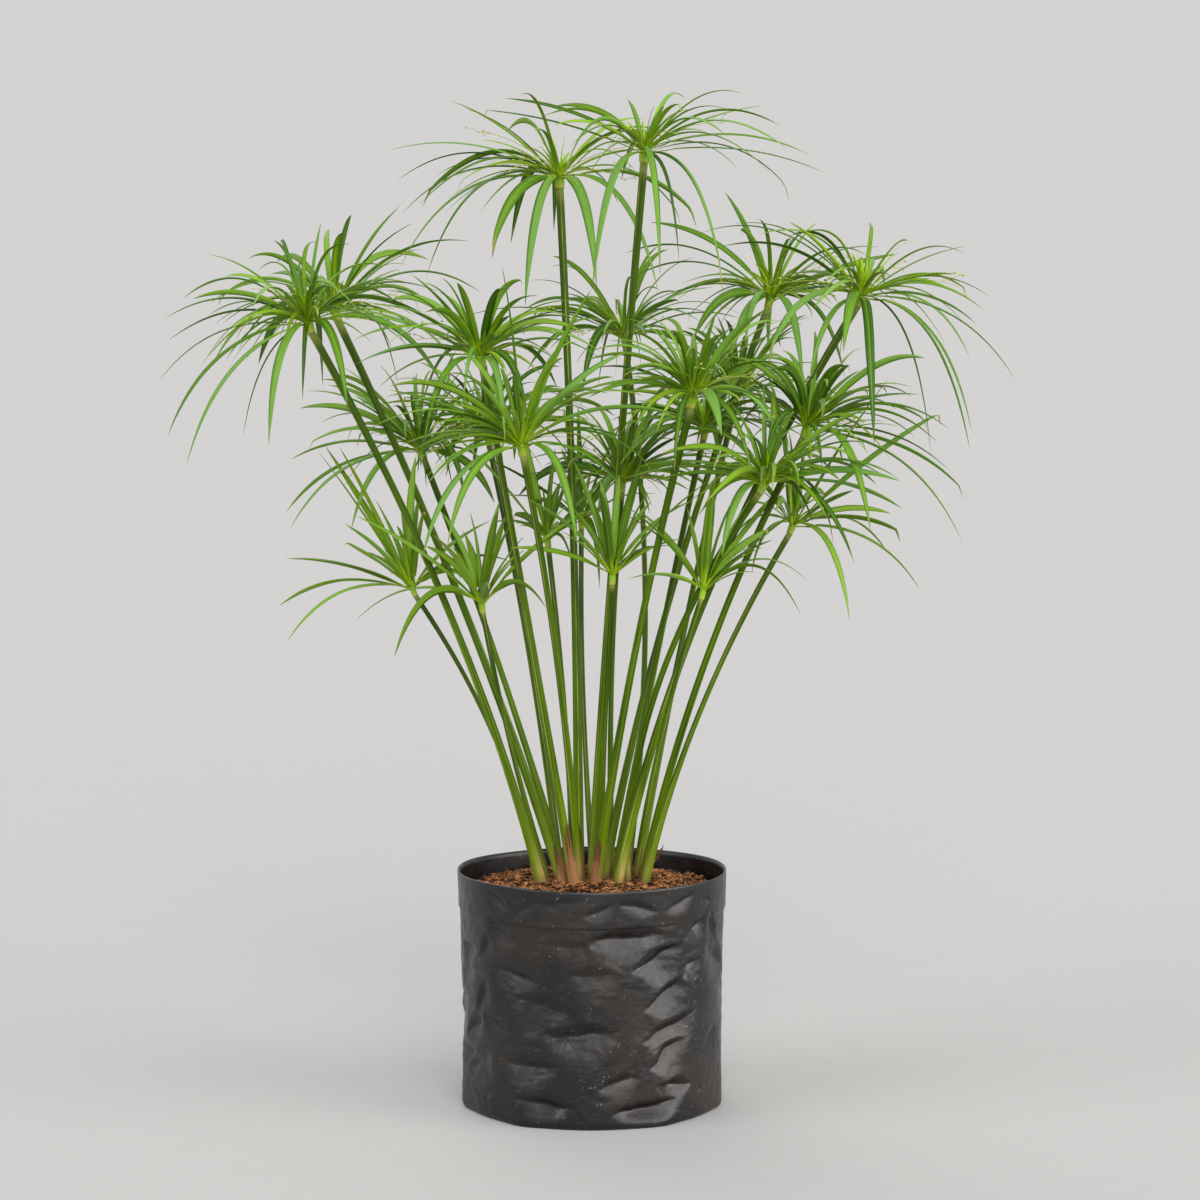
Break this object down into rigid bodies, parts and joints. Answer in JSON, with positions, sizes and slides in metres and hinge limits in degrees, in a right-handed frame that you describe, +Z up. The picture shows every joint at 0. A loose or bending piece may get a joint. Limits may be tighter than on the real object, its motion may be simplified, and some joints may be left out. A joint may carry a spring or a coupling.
{
  "type": "potted umbrella sedge",
  "caption": "Clump of umbrella sedge in a round black film grow bag: leaning green culms, each topped by an umbrella of narrow drooping blades.",
  "frame": {"origin": "middle of the flat underside of the grow bag", "axes": "+Z up, the front of the plant towards -Y, +X to the right seen from the front"},
  "size_m": [0.6275, 0.4123, 0.7511],
  "materials": {
    "bag_film": "wrinkled black polyethylene film with a soft grey sheen and dust",
    "peat": "crumbly brown coco peat with fibres",
    "culm": "smooth satin green stem, paler and yellower at the foot",
    "blades": "ribbed green leaf with a soft sheen and dry brown tips",
    "young_blades": "bright young green leaf with a soft sheen",
    "dry_scale": "dry papery brown scale"
  },
  "bodies": {
    "root": {"grow_bag": "bag_film", "coco_peat": "peat", "culm_01": "culm", "culm_02": "culm", "culm_03": "culm", "culm_04": "culm", "culm_05": "culm", "culm_06": "culm", "culm_07": "culm", "culm_08": "culm", "culm_09": "culm", "culm_10": "culm", "culm_11": "culm", "culm_12": "culm", "culm_13": "culm", "culm_14": "culm", "culm_15": "culm", "culm_16": "culm", "culm_17": "culm", "culm_18": "culm", "culm_19": "culm", "culm_20": "culm", "culm_21": "culm", "culm_22": "culm", "culm_23": "culm", "culm_24": "culm", "whorl_01": "blades", "whorl_02": "blades", "whorl_03": "blades", "whorl_04": "blades", "whorl_05": "blades", "whorl_06": "blades", "whorl_07": "blades", "whorl_08": "blades", "whorl_09": "blades", "whorl_10": "young_blades", "whorl_11": "young_blades", "whorl_12": "young_blades", "whorl_13": "young_blades", "whorl_14": "young_blades", "whorl_15": "blades", "whorl_16": "blades", "whorl_17": "blades", "whorl_18": "blades", "whorl_19": "young_blades", "whorl_20": "blades", "whorl_21": "young_blades", "whorl_22": "blades", "whorl_23": "blades", "whorl_24": "blades", "scale_01": "dry_scale", "scale_02": "dry_scale", "scale_03": "dry_scale", "scale_04": "dry_scale", "scale_05": "dry_scale", "scale_06": "dry_scale", "scale_07": "dry_scale", "scale_08": "dry_scale"}
  },
  "joints": []
}
